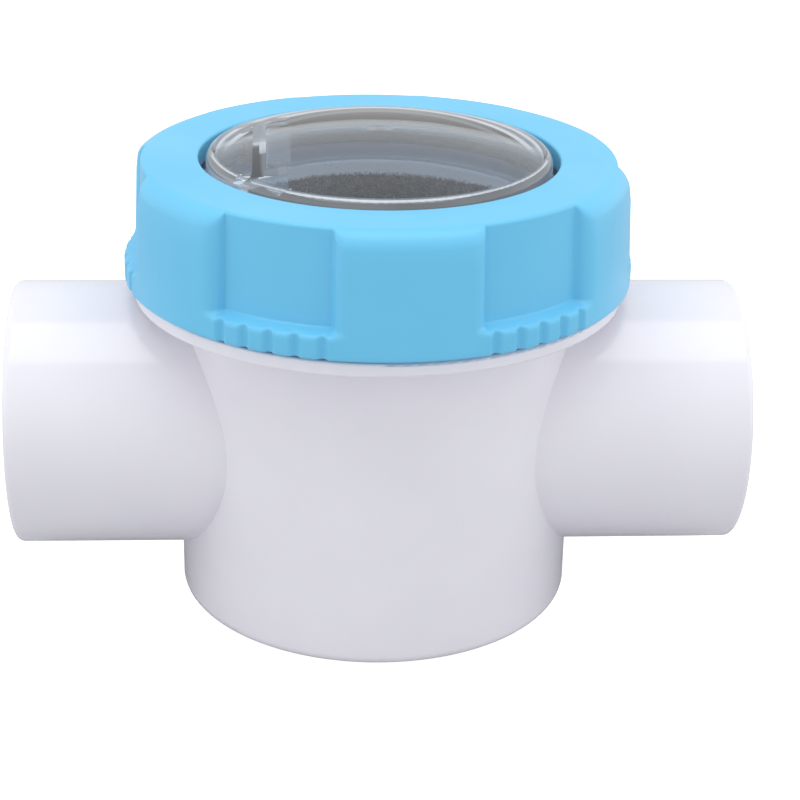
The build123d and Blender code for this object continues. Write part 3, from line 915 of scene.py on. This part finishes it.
    def thread(self, first: int) -> tuple[list[Vector], list[tuple[int, ...]]]:
        """Thread ridge on the ring's bore.

        Args:
            first: number of its first vertex.

        Returns:
            The vertices and faces.
        """
        steps = self.thread_steps
        path, normals = [], []
        for i in range(int(steps * self.thread_turns) + 1):
            turn = i / steps
            angle = radians(self.thread_start_angle + 360 * turn)
            normals.append(Vector((-cos(angle), -sin(angle), 0)))
            path.append(Vector((self.bore_r * cos(angle), self.bore_r * sin(angle),
                                self.thread_start_z + turn * self.thread_pitch)) * MM)
        crest, edge = self.thread_crest, self.thread_edge
        flank = [(-self.thread_bite, self.thread_root + edge / 2), (0.0, self.thread_root),
                 (self.thread_h - edge, crest + edge), (self.thread_h, crest)]
        outline = [(h, -half) for h, half in flank] + flank[::-1]
        return tube(path, [(a * MM, b * MM) for a, b in outline], normals, first)

    def build(self, finishes: Finishes) -> bpy.types.Object:
        """Builds and dresses the ring in place of its CAD node.

        Args:
            finishes: the finishes.

        Returns:
            The ring.
        """
        points = []
        for i in range(self.columns):
            angle = 360 * i / self.columns
            around = Vector((cos(radians(angle)), sin(radians(angle)), 0))
            line = self.section(angle)
            points += [(around * r + Vector((0, 0, z))) * MM for r, z in line]
        faces = loop_grid(len(line), self.columns)
        ridge, ridge_faces = self.thread(len(points))
        ring = make_piece("lobed_lock_ring", points + ridge, faces + ridge_faces)
        weighted = ring.modifiers.new("face_weights", "WEIGHTED_NORMAL")
        weighted.keep_sharp = True
        finishes.dress_piece(ring, Slot.BLUE)
        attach(ring, Body.RING.value)
        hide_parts("lock_ring")
        LOG.info("built %s", ring.name)
        return ring


@dataclass
class TorsionSpring:
    """Close-wound wire spring about the hinge pin. Sizes in millimetres."""

    side: int
    wire_r: float = 0.5
    coil_r: float = 3.4
    first_y: float = 9.0
    pitch: float = 1.15
    turns: float = 5.0
    end_turn: float = 80.0
    tilt: float = 10.0
    leg: float = 19.0
    anchor: float = 7.0
    steps: int = 32
    sides: int = 12

    def __post_init__(self) -> None:
        """Takes the hinge's place from the record."""
        joint = next(j for j in frame["joints"] if j["name"] == "flapper_swing")
        self.hinge = Vector(joint["pos_m"]) / MM

    def centreline(self) -> list[Vector]:
        """Returns the wire's centreline, from the leg on the disc to the leg in the frame."""
        tilt = radians(self.tilt)
        start = self.hinge + Vector((cos(tilt), 0, sin(tilt))) * self.coil_r
        start.y = self.first_y
        down = Vector((sin(tilt), 0, -cos(tilt)))
        path = [start + down * self.leg * (1 - i / 10) for i in range(10)]
        total = self.turns * 360 + self.end_turn
        count = int(total / 360 * self.steps)
        for i in range(count + 1):
            angle = total * i / count
            turn = radians(angle + self.tilt)
            path.append(Vector((self.hinge.x + self.coil_r * cos(turn),
                                self.first_y + self.pitch * angle / 360,
                                self.hinge.z + self.coil_r * sin(turn))))
        end = path[-1]
        path += [end + Vector((-self.anchor * (i + 1) / 6, 0, 0)) for i in range(6)]
        return [Vector((p.x, p.y * self.side, p.z)) * MM for p in path]

    def build(self, finishes: Finishes, name: str, node: str) -> bpy.types.Object:
        """Builds the spring between the frame and the flapper.

        Args:
            finishes: the finishes.
            name: the piece's name.
            node: the CAD node it stands for.

        Returns:
            The spring.
        """
        path = self.centreline()
        normals = [Vector((0, 1, 0))] * len(path)
        circle = [2 * pi * i / self.sides for i in range(self.sides)]
        outline = [(self.wire_r * MM * cos(a), self.wire_r * MM * sin(a)) for a in circle]
        spring = make_piece(name, *tube(path, outline, normals))
        finishes.dress_piece(spring, Slot.SPRING)
        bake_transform(spring)
        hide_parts(node)
        LOG.info("built %s", name)
        return spring


@dataclass
class ValveHousing:
    """The body, its cover seal and the drop-in seat frame, which keep their CAD shapes."""

    nodes: dict[str, Slot] = field(default_factory=lambda: {
        "valve_body": Slot.PVC, "cover_o_ring": Slot.RUBBER, "seat_frame": Slot.FRAME,
        "seat_o_ring": Slot.RUBBER, "hinge_bush_front": Slot.BUSH, "hinge_bush_rear": Slot.BUSH})

    def build(self, finishes: Finishes) -> None:
        """Dresses each node.

        Args:
            finishes: the finishes.
        """
        for node, slot in self.nodes.items():
            finishes.dress_node(node, slot)


@dataclass
class Cover:
    """The clear lens with its hold-down ribs, and the washer that the ring slips on."""

    nodes: dict[str, Slot] = field(default_factory=lambda: {
        "sight_lens": Slot.CLEAR, "slip_washer": Slot.ACETAL})

    def build(self, finishes: Finishes) -> None:
        """Dresses each node.

        Args:
            finishes: the finishes.
        """
        for node, slot in self.nodes.items():
            finishes.dress_node(node, slot)


@dataclass
class Flapper:
    """The swinging disc, its arm and their fastenings, with the two springs that close it."""

    nodes: dict[str, Slot] = field(default_factory=lambda: {
        "flapper_arm": Slot.FLAPPER, "flapper_disc": Slot.FLAPPER, "flapper_seal": Slot.RUBBER,
        "seal_retainer": Slot.STAINLESS, "disc_screw": Slot.STAINLESS, "disc_washer": Slot.STAINLESS,
        "disc_nut": Slot.STAINLESS, "hinge_pin": Slot.STAINLESS, "pin_clips": Slot.SPRING})

    def build(self, finishes: Finishes) -> None:
        """Dresses each node and winds the springs.

        Args:
            finishes: the finishes.
        """
        for node, slot in self.nodes.items():
            finishes.dress_node(node, slot)
        for side, place in ((-1, "front"), (1, "rear")):
            name, node = f"closing_spring_{place}", f"torsion_spring_{place}"
            TorsionSpring(side).build(finishes, name, node)


# ---- Studio --------------------------------------------------------------------------------------
@dataclass
class Studio:
    """Pale floor, white surround, one overhead softbox and the camera."""

    floor_size: float = 1.3
    floor_tint: Colour = (0.60, 0.60, 0.615)
    floor_glow: float = 0.9
    front_glow: float = 0.76
    back_glow: float = 0.72
    side_glow: float = 1.4
    box_height: float = 0.9
    box_front: float = 0.42
    box_back: float = 0.21
    box_width: float = 1.0
    box_radiance: float = 1.8
    eye: Vector = field(default_factory=lambda: Vector((-0.0213, -0.4300, 0.2298)))
    yaw: float = 3.58
    pitch: float = 23.27
    roll: float = 1.17
    lens: float = 90.51
    sensor: float = 36.0

    def build(self) -> None:
        """Builds the surround, the floor, the light and the camera."""
        self.surround()
        self.floor()
        self.softbox()
        self.camera()
        bpy.context.scene.view_settings.view_transform = "Standard"
        LOG.info("built the studio")

    def surround(self) -> None:
        """Lights the scene from all round, most from the two sides."""
        world = bpy.data.worlds.new("white_surround")
        bpy.context.scene.world = world
        world.use_nodes = True
        world.node_tree.nodes.clear()
        g = Graph(world.node_tree)
        direction = g.add("SeparateXYZ", {0: g.add("TexCoord").outputs["Generated"]})
        depth = g.remap(direction.outputs[1], -0.6, 0.5, self.front_glow, self.back_glow)
        aside = g.remap(g.maths("ABSOLUTE", direction.outputs[0]), 0.4, 0.95, 0.0, 1.0)
        lift = g.maths("MULTIPLY", aside, g.maths("SUBTRACT", self.side_glow, depth))
        glow = g.maths("ADD", depth, lift)
        seen = g.add("LightPath").outputs["Is Camera Ray"]
        level = g.maths("MAXIMUM", glow, seen)
        back = g.add("Background", {"Color": rgba(WHITE), "Strength": level})
        g.add("OutputWorld", {"Surface": back.outputs[0]})

    def floor(self) -> None:
        """Lays the floor: a pale sheet with a fine tooth that stays white to the eye."""
        half, cells = self.floor_size / 2, 12
        points, faces = [], []
        for i in range(cells + 1):
            for j in range(cells + 1):
                x, y = lerp(i / cells, -half, half), lerp(j / cells, -half, half)
                points.append(Vector((x, y, 0)))
        for i in range(cells):
            for j in range(cells):
                a = i * (cells + 1) + j
                faces.append((a, a + cells + 1, a + cells + 2, a + 1))
        sheet = make_piece("pale_floor", points, faces)
        material, g, shader = new_material("pale_paper")
        grain = g.noise(400.0, 3.0)
        darker = tuple(0.97 * c for c in self.floor_tint)
        g.feed(shader.inputs["Base Color"], g.blend(grain, rgba(self.floor_tint), rgba(darker)))
        g.feed(shader.inputs["Roughness"], g.remap(grain, 0.0, 1.0, 0.75, 0.9))
        shader.inputs["Emission Color"].default_value = rgba(WHITE)
        seen = g.add("LightPath").outputs["Is Camera Ray"]
        g.feed(shader.inputs["Emission Strength"], g.maths("MULTIPLY", seen, self.floor_glow))
        sheet.data.materials.append(material)

    def softbox(self) -> None:
        """Hangs the overhead softbox, level, with its middle a little in front of the valve."""
        lamp = bpy.data.lights.new("overhead_softbox", "AREA")
        lamp.shape = "RECTANGLE"
        lamp.size, lamp.size_y = self.box_width, self.box_front + self.box_back
        lamp.energy = self.box_radiance * pi * lamp.size * lamp.size_y
        light = bpy.data.objects.new("overhead_softbox", lamp)
        light.location = (0, (self.box_back - self.box_front) / 2, self.box_height)
        bpy.context.scene.collection.objects.link(light)

    def camera(self) -> None:
        """Sets the camera at its place and tilt."""
        yaw, pitch, roll = radians(self.yaw), radians(self.pitch), radians(self.roll)
        ahead = Vector((sin(yaw) * cos(pitch), cos(yaw) * cos(pitch), -sin(pitch)))
        right = Vector((cos(yaw), -sin(yaw), 0))
        up = right.cross(ahead)
        turned_right = right * cos(roll) + up * sin(roll)
        turned_up = up * cos(roll) - right * sin(roll)
        data = bpy.data.cameras.new("camera")
        data.lens, data.sensor_width = self.lens, self.sensor
        data.clip_start = 0.01
        camera = bpy.data.objects.new("camera", data)
        axes = Matrix((turned_right, turned_up, -ahead)).transposed()
        camera.matrix_world = Matrix.Translation(self.eye) @ axes.to_4x4()
        bpy.context.scene.collection.objects.link(camera)
        bpy.context.scene.camera = camera


def main() -> None:
    """Builds every sub-assembly in order and then the studio."""
    logging.basicConfig(level=logging.INFO, format="%(message)s")
    finishes = Finishes()
    finishes.build()
    ValveHousing().build(finishes)
    Cover().build(finishes)
    Flapper().build(finishes)
    LockRing().build(finishes)
    Studio().build()


if __name__ == "__main__":
    main()
